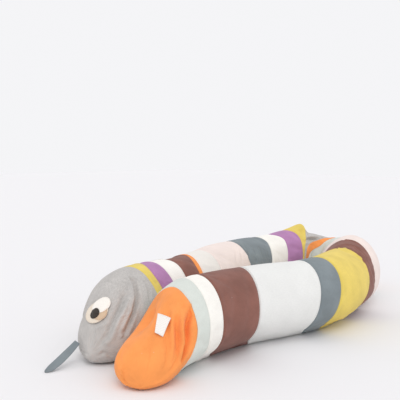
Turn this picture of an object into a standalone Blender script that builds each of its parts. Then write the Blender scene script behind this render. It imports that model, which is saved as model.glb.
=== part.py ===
"""Stuffed snake pregnancy pillow, folded in a narrow U on the floor. Metres, +Z up, +X towards the bend.
The body is one long stuffed tube sewn from colour bands. Each band is a closed, filled piece of its own,
drawn in at its seams and flat where it rests on the floor. Origin: bottom centre of the bounding box."""
import math

import bmesh
import bpy
import numpy as np
from mathutils import Matrix, Vector
from mathutils.bvhtree import BVHTree

# overall sizes, metres
TUBE_RADIUS = 0.09         # half the thickness of the full tube
RING_POINTS = 28           # points round the tube
STATION_STEP = 0.030       # longest step between rings inside a band
SEAM_GAP = 0.0006          # air between two bands at a seam
SEAM_DRAW_IN = 0.0022      # how far a seam pulls the cloth in
SEAM_SHOULDER = 0.006      # distance from a seam where the cloth is out again
SEAM_STEEPNESS = 2.5       # how quickly the cloth comes out beside a seam
SHOULDER_SHARE = 0.3       # longest shoulder, share of a narrow band's length
CROWN = 0.0014             # swell at the middle of a band
FLAT_BELOW = 0.935         # share of the ring's lower half height that is pressed flat on the floor
HEAD_ROUNDING = 0.048      # length over which the snout closes
TAIL_ROUNDING = 0.050      # length over which the tail lobe closes
TIP_PLACES = (0.006, 0.06, 0.18, 0.38, 0.66, 1.0)   # rings of a rounded end, share of its rounding
SHIFT_DIGITS = 6           # rounding of the shifts that pair up a cap's points
BLUNTNESS = 2.3            # 2 closes an end as an ellipse, more as a blunter one
MOUTH_HEIGHT = 0.37        # height of the snout's closing point, share of the local height
LOBE_HEIGHT = 0.26         # the same for the slack tail lobe
# places where the cloth stands higher or lower than the plain tube: the sharp ridge at the kink, the
# full back of the bend and the sunken far side of the crown; columns: place along the tube, reach before
# and after it, rise, angle round the tube, reach round it in radians
SWELLS = [
    (1.003, 0.034, 0.015, 0.0220, 90, 0.38),
    (1.300, 0.070, 0.070, 0.0170, 84, 0.90),
    (0.120, 0.070, 0.075, -0.0110, 56, 0.50),
]

# centre line from snout to tail; columns: plan x, y, half width on the outer and the inner side of
# the U, and height of the top
PATH = np.array([
    (-0.5165, 0.0112, 0.045, 0.058, 0.086),
    (-0.4929, 0.0233, 0.049, 0.070, 0.111),
    (-0.4442, 0.0431, 0.067, 0.085, 0.146),
    (-0.3917, 0.0686, 0.083, 0.095, 0.171),
    (-0.3335, 0.0959, 0.090, 0.092, 0.180),
    (-0.2599, 0.1054, 0.090, 0.090, 0.180),
    (-0.1480, 0.1174, 0.090, 0.090, 0.178),
    (-0.0327, 0.1389, 0.090, 0.090, 0.178),
    (0.1084, 0.1658, 0.090, 0.090, 0.180),
    (0.2422, 0.1675, 0.090, 0.090, 0.180),
    (0.3470, 0.1606, 0.090, 0.085, 0.184),
    (0.4248, 0.1471, 0.090, 0.067, 0.191),
    (0.4857, 0.1214, 0.088, 0.052, 0.178),
    (0.5169, 0.0668, 0.087, 0.059, 0.164),
    (0.4948, -0.0018, 0.090, 0.081, 0.175),
    (0.4075, -0.0758, 0.090, 0.090, 0.180),
    (0.3105, -0.1170, 0.090, 0.090, 0.180),
    (0.2038, -0.1477, 0.090, 0.090, 0.180),
    (0.0884, -0.1691, 0.090, 0.090, 0.180),
    (-0.0302, -0.1541, 0.090, 0.090, 0.180),
    (-0.1562, -0.1179, 0.090, 0.090, 0.180),
    (-0.2716, -0.1047, 0.090, 0.090, 0.180),
    (-0.3625, -0.1100, 0.088, 0.085, 0.177),
    (-0.4080, -0.1150, 0.082, 0.074, 0.155),
    (-0.4456, -0.1208, 0.075, 0.066, 0.124),
    (-0.4897, -0.1371, 0.068, 0.064, 0.092),
    (-0.5311, -0.1673, 0.060, 0.062, 0.068),
])
KNOT_POWER = 0.8           # below 1 the spline gives close points more room
PATH_SAMPLES = 2400

# bands from snout to tail; columns: node, cloth colour (linear), start along the centre line,
# turn of the starting seam in plan, lean of the starting seam
BANDS = [
    ("head_grey", (0.50, 0.48, 0.46), 0.000, 0.000, 0.000),
    ("band_yellow_neck", (0.76, 0.59, 0.16), 0.193, 0.010, -0.006),
    ("band_purple_neck", (0.35, 0.16, 0.32), 0.225, -0.007, -0.003),
    ("band_white_neck", (0.91, 0.90, 0.84), 0.271, -0.013, -0.008),
    ("band_brown_far", (0.23, 0.11, 0.09), 0.313, -0.008, 0.011),
    ("band_orange_far", (0.93, 0.34, 0.10), 0.384, 0.013, 0.015),
    ("band_pale_far", (0.76, 0.77, 0.76), 0.404, 0.018, 0.011),
    ("band_pink_far", (0.84, 0.72, 0.69), 0.493, 0.021, 0.009),
    ("band_slate_far", (0.22, 0.27, 0.29), 0.663, 0.017, 0.005),
    ("band_white_far", (0.91, 0.90, 0.84), 0.782, 0.026, 0.028),
    ("band_purple_kink", (0.35, 0.16, 0.32), 0.854, 0.019, 0.041),
    ("band_yellow_kink", (0.76, 0.59, 0.16), 0.945, 0.002, 0.010),
    ("band_grey_kink", (0.50, 0.48, 0.46), 0.992, 0.040, 0.028),
    ("band_orange_kink", (0.93, 0.34, 0.10), 1.052, 0.090, 0.042),
    ("band_mint_kink", (0.66, 0.72, 0.67), 1.098, 0.110, 0.040),
    ("band_pink_bend", (0.84, 0.72, 0.69), 1.232, 0.050, 0.018),
    ("band_brown_bend", (0.23, 0.11, 0.09), 1.376, 0.029, -0.028),
    ("band_yellow_near", (0.76, 0.59, 0.16), 1.497, 0.011, -0.055),
    ("band_slate_near", (0.22, 0.27, 0.29), 1.651, 0.014, -0.026),
    ("band_pale_near", (0.76, 0.77, 0.76), 1.720, 0.006, -0.022),
    ("band_brown_near", (0.23, 0.11, 0.09), 1.894, 0.020, -0.012),
    ("band_white_near", (0.91, 0.90, 0.84), 2.023, 0.030, -0.005),
    ("band_mint_near", (0.66, 0.72, 0.67), 2.076, 0.016, -0.001),
    ("tail_orange", (0.93, 0.34, 0.10), 2.126, 0.007, -0.023),
]

# felt and cloth pieces laid on the tube
PATCH_LIFT = 0.0008        # air under the lowest patch
PATCH_GAP = 0.0007         # air between stacked felts
FELT = 0.0010              # thickness of the eye felts
FELT_POINTS, FELT_RINGS = 24, 3
# felts of one eye, lowest first; columns: name, colour (linear), centre along and round the head, radius
EYE_FELTS = [
    ("socket", (0.88, 0.79, 0.69), 0.0020, 0.004, 0.0275),
    ("lid", (0.72, 0.53, 0.37), -0.0024, -0.008, 0.0160),
    ("white", (0.92, 0.87, 0.81), 0.0180, -0.002, 0.0215),
    ("pupil", (0.055, 0.045, 0.040), -0.0045, 0.004, 0.0118),
]
# eyes; columns: name, place along the tube, angle round it, side towards which the felts are set
EYES = [("near", 0.031, 91.0, 1), ("far", 0.068, -36.0, -1)]
SKIN_STEP, SKIN_TURN = 0.002, 0.02      # steps along and round the tube that give its slope
SKIN_BELOW = 0.06                       # height inside the tube, to tell in from out
PATCH_REACH = 0.05                      # height above the skin from which a patch is laid down
# the label; columns: distance from the tail's end, angle round the tube, turn in the skin
LABEL_AT, LABEL_ANGLE, LABEL_TURN = 0.084, 74.0, -81.5
LABEL_SIZE = (0.027, 0.046, 0.0010)
LABEL_CELLS = (4, 7)
# the tongue: it leaves the mouth, sinks to the floor, and is rolled a little about its length
TONGUE_WIDTH, TONGUE_THICKNESS, TONGUE_REACH = 0.020, 0.0026, 0.0765
TONGUE_HEADING, TONGUE_ROLL, TONGUE_SINK = 175.0, -24.0, 1.3
TONGUE_ROOT_SHARE, TONGUE_TIP_FROM, TONGUE_TIP_END = 0.74, 0.75, 0.02
TONGUE_STEPS = 10
MOUTH_AT, MOUTH_ANGLE, MOUTH_GAP = 0.0095, 10.0, 0.0026
TONGUE_COLOUR, LABEL_COLOUR = (0.22, 0.25, 0.26), (0.80, 0.76, 0.71)
CLOTH_ROUGHNESS = 0.9


def natural_spline(knots, values):
    """second derivatives of the natural cubic spline through values at knots"""
    count = len(knots)
    step = np.diff(knots)
    ties = np.eye(count)
    pull = np.zeros_like(values)
    for i in range(1, count - 1):
        ties[i, i - 1], ties[i, i], ties[i, i + 1] = step[i - 1], 2 * (step[i - 1] + step[i]), step[i]
        pull[i] = 6 * ((values[i + 1] - values[i]) / step[i] - (values[i] - values[i - 1]) / step[i - 1])
    return np.linalg.solve(ties, pull)


def sampled_path():
    """arc length, rows and unit tangents along the centre line"""
    knots = np.r_[0.0, np.cumsum(np.hypot(*np.diff(PATH[:, :2], axis=0).T) ** KNOT_POWER)]
    bend = natural_spline(knots, PATH)
    t = np.linspace(0, knots[-1], PATH_SAMPLES)
    i = np.clip(np.searchsorted(knots, t) - 1, 0, len(knots) - 2)
    h = (knots[i + 1] - knots[i])[:, None]
    u = (knots[i + 1] - t)[:, None] / h
    w = 1 - u
    rows = u * PATH[i] + w * PATH[i + 1] + ((u ** 3 - u) * bend[i] + (w ** 3 - w) * bend[i + 1]) * h * h / 6
    arc = np.r_[0.0, np.cumsum(np.hypot(*np.diff(rows[:, :2], axis=0).T))]
    tangent = np.gradient(rows[:, :2], arc, axis=0)
    tangent /= np.hypot(*tangent.T)[:, None]
    return arc, rows, tangent


ARC, ROWS, TANGENT = sampled_path()
LENGTH = float(ARC[-1])


def rounded(part):
    """share of the full section, from 0 at the closing point to 1 where the rounding ends"""
    return max(1 - (1 - part) ** BLUNTNESS, 0.0) ** (1 / BLUNTNESS)


def tube_point(s, angle, scale=1.0):
    """point of the tube's skin at arc length s and angle: 0 outer side of the U, 90 degrees top"""
    s = min(max(s, 0.0), LENGTH)
    x, y, outer, inner, top = (float(np.interp(s, ARC, ROWS[:, k])) for k in range(5))
    tx, ty = (float(np.interp(s, ARC, TANGENT[:, k])) for k in range(2))
    side, up = math.cos(angle), math.sin(angle)
    half = (outer if side > 0 else inner) * scale
    axis = top / (1 + FLAT_BELOW)
    z = FLAT_BELOW * axis + axis * up * scale
    for place, before, after, rise, degrees, reach in SWELLS:
        run = (s - place) / (before if s < place else after)
        off = (angle - math.radians(degrees) + math.pi) % (2 * math.pi) - math.pi
        z += rise * math.exp(-run ** 2 - (off / reach) ** 2)
    end, closing = 1.0, MOUTH_HEIGHT * top
    if s < HEAD_ROUNDING:
        end = rounded(s / HEAD_ROUNDING)
    if LENGTH - s < TAIL_ROUNDING:
        end, closing = rounded((LENGTH - s) / TAIL_ROUNDING), LOBE_HEIGHT * top
    z = max(closing + (z - closing) * end, 0.0)
    half *= end
    return Vector((x - ty * half * side, y + tx * half * side, z))


def ring_shifts(turn, lean):
    """angle and shift along the tube of each point of a ring, turned in plan and leaned"""
    angles = [2 * math.pi * k / RING_POINTS - math.pi / 2 for k in range(RING_POINTS)]
    return [(a, turn * math.cos(a) + lean * math.sin(a)) for a in angles]


def add_ring(bm, s, turn, lean, scale):
    """one ring of the tube; turn and lean shift it along the tube on its sides and on its top"""
    return [bm.verts.new(tube_point(s + shift, a, scale)) for a, shift in ring_shifts(turn, lean)]


def seam_scale(from_seam, swell=0.0):
    """scale of a ring that a seam at this distance draws in"""
    draw = SEAM_DRAW_IN * math.exp(-((from_seam / SEAM_SHOULDER) ** 2) * SEAM_STEEPNESS)
    return 1 + (swell - draw) / TUBE_RADIUS


def capped(bm, ring, turn=0.0, lean=0.0):
    """close a ring with chords between points at the same length along the tube, so that the cap of a
    strongly turned seam bends with the tube and facing bands stay parallel"""
    count = len(ring)
    shifts = [round(shift, SHIFT_DIGITS) for _a, shift in ring_shifts(turn, lean)][:count]
    low, up, down = shifts.index(min(shifts)), 1, 1
    bm.faces.new((ring[low], ring[(low + 1) % count], ring[low - 1]))
    while up + down < count - 1:
        left, right = (low + up) % count, (low - down) % count
        above, below = (left + 1) % count, (right - 1) % count
        if (shifts[above], up) <= (shifts[below], down):
            bm.faces.new((ring[left], ring[above], ring[right]))
            up += 1
        else:
            bm.faces.new((ring[left], ring[below], ring[right]))
            down += 1


def skinned(bm, rings, first=(), last=()):
    """join rings of equal length and close both ends; first and last are the turn and lean there"""
    for a, b in zip(rings, rings[1:]):
        for k in range(len(a)):
            j = (k + 1) % len(a)
            bm.faces.new((a[k], a[j], b[j], b[k]))
    capped(bm, rings[0], *first)
    capped(bm, rings[-1], *last)
    return bm


def band_solid(start, end):
    """a filled band between two seams, each given as position, turn and lean"""
    length = end[0] - start[0]
    shoulder = min(SEAM_SHOULDER, length * SHOULDER_SHARE)
    steps = max(1, round((length - 2 * shoulder) / STATION_STEP))
    places = [SEAM_GAP / 2]
    places += [shoulder + (length - 2 * shoulder) * k / steps for k in range(steps + 1)]
    places += [length - SEAM_GAP / 2]
    bm = bmesh.new()
    rings = []
    for place in places:
        part = place / length
        turn = start[1] + (end[1] - start[1]) * part
        lean = start[2] + (end[2] - start[2]) * part
        scale = seam_scale(min(place, length - place), CROWN * math.sin(math.pi * part))
        rings.append(add_ring(bm, start[0] + place, turn, lean, scale))
    return skinned(bm, rings, start[1:], end[1:])


def end_band(seam, tip, rounding):
    """the head or the tail lobe: from a rounded tip to its one seam"""
    sign = 1 if seam[0] > tip else -1
    length = abs(seam[0] - tip)
    full = length - rounding - SEAM_SHOULDER
    steps = max(1, round(full / STATION_STEP))
    places = [rounding * share for share in TIP_PLACES]
    places += [rounding + full * k / steps for k in range(1, steps + 1)]
    places += [length - SEAM_GAP / 2]
    bm = bmesh.new()
    rings = []
    for place in places:
        part = max(0.0, (place - rounding) / (length - rounding))
        turn, lean = seam[1] * part, seam[2] * part
        rings.append(add_ring(bm, tip + sign * place, turn, lean, seam_scale(length - place)))
    return skinned(bm, rings, last=seam[1:])


def patch_frame(s, degrees):
    """place, outward normal and two directions in the skin at a point of the tube"""
    angle = math.radians(degrees)
    place = tube_point(s, angle)
    along = (tube_point(s + SKIN_STEP, angle) - tube_point(s - SKIN_STEP, angle)).normalized()
    around = tube_point(s, angle + SKIN_TURN) - tube_point(s, angle - SKIN_TURN)
    normal = along.cross(around).normalized()
    inside = Vector([float(np.interp(s, ARC, ROWS[:, k])) for k in range(2)] + [SKIN_BELOW])
    if normal.dot(place - inside) < 0:
        normal.negate()
    return place, normal, along, normal.cross(along).normalized()


def laid_on(tree, frame, u, v, lift):
    """point above the skin seen straight along the patch's normal"""
    place, normal, along, around = frame
    flat = place + along * u + around * v
    hit = tree.ray_cast(flat + normal * PATCH_REACH, -normal)[0]
    return (hit or flat) + normal * lift


def thickened(bm, layer, frame, tree, lift, thickness):
    """lay a flat patch, drawn in x and y, on the skin and give it its thickness"""
    top = bmesh.ops.extrude_face_region(bm, geom=layer)["geom"]
    raised = {g for g in top if isinstance(g, bmesh.types.BMVert)}
    for v in bm.verts:
        v.co = laid_on(tree, frame, v.co.x, v.co.y, lift + (thickness if v in raised else 0.0))
    return bm


def disc_patch(tree, frame, centre, radius, lift):
    """a round felt that follows the skin below it"""
    bm = bmesh.new()
    bmesh.ops.create_circle(bm, segments=FELT_POINTS, radius=radius, cap_ends=True)
    for _ring in range(FELT_RINGS - 1):
        cap = max(bm.faces, key=lambda face: len(face.verts))
        bmesh.ops.inset_individual(bm, faces=[cap], thickness=radius / FELT_RINGS)
    bmesh.ops.poke(bm, faces=[max(bm.faces, key=lambda face: len(face.verts))])
    bmesh.ops.translate(bm, verts=bm.verts, vec=(*centre, 0.0))
    return thickened(bm, list(bm.faces), frame, tree, lift, FELT)


def label_patch(tree, frame):
    """the blank sewn-on label: a small cloth rectangle that follows the skin"""
    width, length, thickness = LABEL_SIZE
    bm = bmesh.new()
    bmesh.ops.create_grid(bm, x_segments=LABEL_CELLS[0], y_segments=LABEL_CELLS[1], size=0.5)
    bmesh.ops.scale(bm, verts=bm.verts, vec=(width, length, 1.0))
    turn = Matrix.Rotation(math.radians(LABEL_TURN), 3, "Z")
    bmesh.ops.rotate(bm, verts=bm.verts, cent=(0, 0, 0), matrix=turn)
    return thickened(bm, list(bm.faces), frame, tree, PATCH_LIFT, thickness)


def tongue_strip(root, forward):
    """a flat cloth tongue that hangs from the mouth and lies down on the floor at its tip"""
    roll = math.radians(TONGUE_ROLL)
    lowest = TONGUE_THICKNESS / 2 + TONGUE_WIDTH / 2 * math.sqrt(TONGUE_TIP_END) * math.sin(abs(roll))
    drop = root.z - lowest
    bm = bmesh.new()
    rings = []
    for k in range(TONGUE_STEPS + 1):
        t = k / TONGUE_STEPS
        half = TONGUE_WIDTH / 2 * (TONGUE_ROOT_SHARE + (1 - TONGUE_ROOT_SHARE) * math.sin(math.pi * t))
        if t > TONGUE_TIP_FROM:
            taper = (t - TONGUE_TIP_FROM) / (1 - TONGUE_TIP_FROM)
            half *= math.sqrt(max(1 - taper ** 2, TONGUE_TIP_END))
        centre = root + forward * TONGUE_REACH * t
        centre.z = root.z - drop * (1 - (1 - t) ** TONGUE_SINK)
        centre.z = max(centre.z, TONGUE_THICKNESS / 2 + half * math.sin(abs(roll)))
        slope = drop * TONGUE_SINK * (1 - t) ** (TONGUE_SINK - 1) / TONGUE_REACH
        up = (Vector((0, 0, 1)) + forward * slope).normalized()
        way = (forward - Vector((0, 0, slope))).normalized()
        turned = Matrix.Rotation(roll, 3, way)
        side = turned @ way.cross(up) * half
        rise = turned @ up * (TONGUE_THICKNESS / 2)
        rings.append([bm.verts.new(centre + side - rise), bm.verts.new(centre - side - rise),
                      bm.verts.new(centre - side + rise), bm.verts.new(centre + side + rise)])
    return skinned(bm, rings)


def new_object(name, colour, bm, collection):
    """close a mesh's making: triangles, outward faces, its own material"""
    bmesh.ops.triangulate(bm, faces=[f for f in bm.faces if len(f.verts) > 3])
    bmesh.ops.recalc_face_normals(bm, faces=bm.faces)
    mesh = bpy.data.meshes.new(name)
    bm.to_mesh(mesh)
    bm.free()
    obj = bpy.data.objects.new(name, mesh)
    collection.objects.link(obj)
    material = bpy.data.materials.new(name + "_cloth")
    material.use_nodes = True
    shader = material.node_tree.nodes["Principled BSDF"]
    shader.inputs["Base Color"].default_value = (*colour, 1.0)
    shader.inputs["Roughness"].default_value = CLOTH_ROUGHNESS
    mesh.materials.append(material)


def add_eye(name, s, degrees, side, tree, collection):
    """stacked round felts on the head"""
    frame = patch_frame(s, degrees)
    lift = PATCH_LIFT
    for felt, colour, along, around, radius in EYE_FELTS:
        bm = disc_patch(tree, frame, (along, around * side), radius, lift)
        new_object("eye_" + name + "_" + felt, colour, bm, collection)
        lift += FELT + PATCH_GAP


def add_tongue(collection):
    """the cloth tongue from the mouth to the floor"""
    heading = math.radians(TONGUE_HEADING)
    forward = Vector((math.cos(heading), math.sin(heading), 0))
    root = tube_point(MOUTH_AT, math.radians(MOUTH_ANGLE)) + forward * MOUTH_GAP
    new_object("tongue_slate", TONGUE_COLOUR, tongue_strip(root, forward), collection)


def build():
    for obj in list(bpy.data.objects):
        bpy.data.objects.remove(obj)
    collection = bpy.data.collections.new("pregnancy_pillow")
    bpy.context.scene.collection.children.link(collection)
    seams = [band[2:5] for band in BANDS]
    trees = {}
    for i, (name, colour, *start) in enumerate(BANDS):
        if i == 0:
            bm = end_band(seams[1], 0.0, HEAD_ROUNDING)
        elif i == len(BANDS) - 1:
            bm = end_band(start, LENGTH, TAIL_ROUNDING)
        else:
            bm = band_solid(start, seams[i + 1])
        if i in (0, len(BANDS) - 1):
            trees[name] = BVHTree.FromBMesh(bm)
        new_object(name, colour, bm, collection)
    for eye in EYES:
        add_eye(*eye, trees["head_grey"], collection)
    label_frame = patch_frame(LENGTH - LABEL_AT, LABEL_ANGLE)
    new_object("label_blank", LABEL_COLOUR, label_patch(trees["tail_orange"], label_frame), collection)
    add_tongue(collection)


build()
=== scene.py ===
"""Looks of a stuffed snake pillow, folded in a narrow U on the floor: a cotton jersey sleeve of colour
bands with felt eyes, a cloth tongue and a bare sewn-on label. Metres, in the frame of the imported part."""
import math

import bmesh
import bpy
import numpy as np
from mathutils import Matrix, Vector, noise
from mathutils.bvhtree import BVHTree


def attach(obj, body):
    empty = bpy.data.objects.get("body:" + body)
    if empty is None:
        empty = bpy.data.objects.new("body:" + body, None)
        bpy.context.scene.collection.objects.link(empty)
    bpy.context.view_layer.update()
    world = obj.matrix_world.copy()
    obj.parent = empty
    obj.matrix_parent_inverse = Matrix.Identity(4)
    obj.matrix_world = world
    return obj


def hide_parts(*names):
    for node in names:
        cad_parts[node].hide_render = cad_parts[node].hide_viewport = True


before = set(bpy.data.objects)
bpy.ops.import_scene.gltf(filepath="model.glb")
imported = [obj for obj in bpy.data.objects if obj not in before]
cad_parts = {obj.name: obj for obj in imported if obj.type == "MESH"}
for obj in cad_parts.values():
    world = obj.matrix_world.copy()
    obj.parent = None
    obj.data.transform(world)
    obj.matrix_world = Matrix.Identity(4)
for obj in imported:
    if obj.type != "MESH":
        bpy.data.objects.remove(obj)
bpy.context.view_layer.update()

# The viewpoint: the camera stands low, about 0.46 m above the floor and 1.3 m from the head, and looks
# along the pillow from the head end.
camera_data = bpy.data.cameras.new("camera")
camera_data.sensor_width, camera_data.lens = 36, 54
camera = bpy.data.objects.new("camera", camera_data)
bpy.context.scene.collection.objects.link(camera)
to_right = Vector((0.68250, -0.73083, 0.00870))
to_top = Vector((0.05478, 0.06302, 0.99651))
to_back = Vector((-0.72883, -0.67964, 0.08305))
camera.matrix_world = Matrix((to_right, to_top, to_back)).transposed().to_4x4()
camera.location = (-1.25650, -0.99007, 0.45540)
bpy.context.scene.camera = camera
bpy.context.scene.view_settings.view_transform = "Standard"


# The floor and the light: a plain pale sheet of backdrop board, a bright even room and one large far
# light high in front of the pillow on its left.
def linear(hex_colour):
    """sRGB hex value as linear RGBA"""
    parts = (int(hex_colour[k:k + 2], 16) / 255 for k in (1, 3, 5))
    return (*(c / 12.92 if c <= 0.04045 else ((c + 0.055) / 1.055) ** 2.4 for c in parts), 1.0)


def node(tree, kind, settings=None, **links):
    """add one shader node; settings go to its properties or sockets, links join its inputs"""
    made = tree.nodes.new("ShaderNode" + kind)
    for key, value in (settings or {}).items():
        if isinstance(key, str) and key not in made.inputs:
            setattr(made, key, value)
        else:
            made.inputs[key].default_value = value
    for key, source in links.items():
        tree.links.new(source, made.inputs[int(key[1:]) if key[1:].isdigit() else key.replace("_", " ")])
    return made


board = bpy.data.materials.new("matt_backdrop_board")
board.use_nodes = True
board.node_tree.nodes["Principled BSDF"].inputs["Base Color"].default_value = linear("#ecebec")
board.node_tree.nodes["Principled BSDF"].inputs["Roughness"].default_value = 0.75
bm = bmesh.new()
bmesh.ops.create_grid(bm, x_segments=1, y_segments=1, size=9)
floor_mesh = bpy.data.meshes.new("floor")
bm.to_mesh(floor_mesh)
bm.free()
floor_mesh.materials.append(board)
floor = bpy.data.objects.new("floor", floor_mesh)
bpy.context.scene.collection.objects.link(floor)

world = bpy.data.worlds.new("bright_room")
bpy.context.scene.world = world
world.use_nodes = True
world.node_tree.nodes["Background"].inputs["Color"].default_value = linear("#f8f8fa")
world.node_tree.nodes["Background"].inputs["Strength"].default_value = 0.97
lamp_data = bpy.data.lights.new("far_soft_light", "SUN")
lamp_data.energy, lamp_data.angle = 0.72, math.radians(35)
lamp = bpy.data.objects.new("far_soft_light", lamp_data)
lamp.location = (-1.3, -1.5, 2.6)
lamp.rotation_euler = (Vector((0, 0, 0)) - lamp.location).to_track_quat("-Z", "Y").to_euler()
bpy.context.scene.collection.objects.link(lamp)


# The sleeve: one long tube of cotton jersey, about 18 cm thick, that follows this line on the floor from
# the snout to the slack end. Its width on each side and its height are the ones of the stuffed tube.
# columns: plan x, y, half width on the outer and the inner side of the U, height of the top
LINE = np.array([
    (-0.5165, 0.0112, 0.045, 0.058, 0.086),
    (-0.4929, 0.0233, 0.049, 0.070, 0.111),
    (-0.4442, 0.0431, 0.067, 0.085, 0.146),
    (-0.3917, 0.0686, 0.083, 0.095, 0.171),
    (-0.3335, 0.0959, 0.090, 0.092, 0.180),
    (-0.2599, 0.1054, 0.090, 0.090, 0.180),
    (-0.1480, 0.1174, 0.090, 0.090, 0.178),
    (-0.0327, 0.1389, 0.090, 0.090, 0.178),
    (0.1084, 0.1658, 0.090, 0.090, 0.180),
    (0.2422, 0.1675, 0.090, 0.090, 0.180),
    (0.3470, 0.1606, 0.090, 0.085, 0.184),
    (0.4248, 0.1471, 0.090, 0.067, 0.191),
    (0.4857, 0.1214, 0.088, 0.052, 0.178),
    (0.5169, 0.0668, 0.087, 0.059, 0.164),
    (0.4948, -0.0018, 0.090, 0.081, 0.175),
    (0.4075, -0.0758, 0.090, 0.090, 0.180),
    (0.3105, -0.1170, 0.090, 0.090, 0.180),
    (0.2038, -0.1477, 0.090, 0.090, 0.180),
    (0.0884, -0.1691, 0.090, 0.090, 0.180),
    (-0.0302, -0.1541, 0.090, 0.090, 0.180),
    (-0.1562, -0.1179, 0.090, 0.090, 0.180),
    (-0.2716, -0.1047, 0.090, 0.090, 0.180),
    (-0.3625, -0.1100, 0.088, 0.085, 0.177),
    (-0.4080, -0.1150, 0.082, 0.074, 0.155),
    (-0.4456, -0.1208, 0.075, 0.066, 0.124),
    (-0.4897, -0.1371, 0.068, 0.064, 0.092),
    (-0.5311, -0.1673, 0.060, 0.062, 0.068),
])
TUBE_RADIUS = 0.09
FLAT_BELOW = 0.935                # share of the lower half's height, pressed flat on the floor
SNOUT_ROUNDING, LOBE_ROUNDING = 0.048, 0.050
SNOUT_HEIGHT, LOBE_HEIGHT = 0.37, 0.26    # where each end closes, as a share of the height there
BLUNTNESS = 2.3
# places where the cloth stands higher or lower than the plain tube: the peak behind the purple band, the
# full back of the bend and the sunken far side of the crown
# columns: place along the line, reach before and after it, rise, angle, reach round the tube (radians)
SWELLS = [
    (1.003, 0.034, 0.015, 0.0220, 90, 0.38),
    (1.300, 0.070, 0.070, 0.0170, 84, 0.90),
    (0.120, 0.070, 0.075, -0.0110, 56, 0.50),
]


def smooth_line(samples=2400):
    """arc lengths, rows and unit tangents along a natural cubic spline through LINE"""
    knots = np.r_[0.0, np.cumsum(np.hypot(*np.diff(LINE[:, :2], axis=0).T) ** 0.8)]
    step = np.diff(knots)
    count = len(knots)
    ties, pull = np.eye(count), np.zeros_like(LINE)
    for i in range(1, count - 1):
        ties[i, i - 1], ties[i, i], ties[i, i + 1] = step[i - 1], 2 * (step[i - 1] + step[i]), step[i]
        pull[i] = 6 * ((LINE[i + 1] - LINE[i]) / step[i] - (LINE[i] - LINE[i - 1]) / step[i - 1])
    bend = np.linalg.solve(ties, pull)
    t = np.linspace(0, knots[-1], samples)
    i = np.clip(np.searchsorted(knots, t) - 1, 0, count - 2)
    h = (knots[i + 1] - knots[i])[:, None]
    u = (knots[i + 1] - t)[:, None] / h
    w = 1 - u
    rows = u * LINE[i] + w * LINE[i + 1] + ((u ** 3 - u) * bend[i] + (w ** 3 - w) * bend[i + 1]) * h * h / 6
    arc = np.r_[0.0, np.cumsum(np.hypot(*np.diff(rows[:, :2], axis=0).T))]
    tangent = np.gradient(rows[:, :2], arc, axis=0)
    return arc, rows, tangent / np.hypot(*tangent.T)[:, None]


ARC, ROWS, TANGENT = smooth_line()
LENGTH = float(ARC[-1])


def sleeve_points(along, angle, scale=1.0):
    """points of the stuffed sleeve at lengths along the line and angles: 0 outer side, 90 degrees top"""
    along = np.clip(np.asarray(along, float), 0.0, LENGTH)
    x, y, outer, inner, top = (np.interp(along, ARC, ROWS[:, k]) for k in range(5))
    tx, ty = (np.interp(along, ARC, TANGENT[:, k]) for k in range(2))
    side, up = np.cos(angle), np.sin(angle)
    half = np.where(side > 0, outer, inner) * scale
    axis = top / (1 + FLAT_BELOW)
    z = FLAT_BELOW * axis + axis * up * scale
    for place, before, after, rise, turn, reach in SWELLS:
        off = np.mod(angle - math.radians(turn) + math.pi, 2 * math.pi) - math.pi
        run = (along - place) / np.where(along < place, before, after)
        z = z + rise * np.exp(-run ** 2 - (off / reach) ** 2)
    end, closing = np.ones_like(along), SNOUT_HEIGHT * top
    for from_tip, rounding, height in ((along, SNOUT_ROUNDING, SNOUT_HEIGHT),
                                       (LENGTH - along, LOBE_ROUNDING, LOBE_HEIGHT)):
        share = np.clip(from_tip / rounding, 0, 1)
        near = from_tip < rounding
        end = np.where(near, (1 - (1 - share) ** BLUNTNESS) ** (1 / BLUNTNESS), end)
        closing = np.where(near, height * top, closing)
    z = np.maximum(closing + (z - closing) * end, 0.0)
    half = half * end
    return np.stack([x - ty * half * side, y + tx * half * side, z], axis=-1)


# Jersey cloth: fine cotton single jersey, piece-dyed, soft and matt. The eye sees an even colour with a
# faint cloudiness, short fuzz, the yarns of the knit, and here and there a speck of lint.

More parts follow.
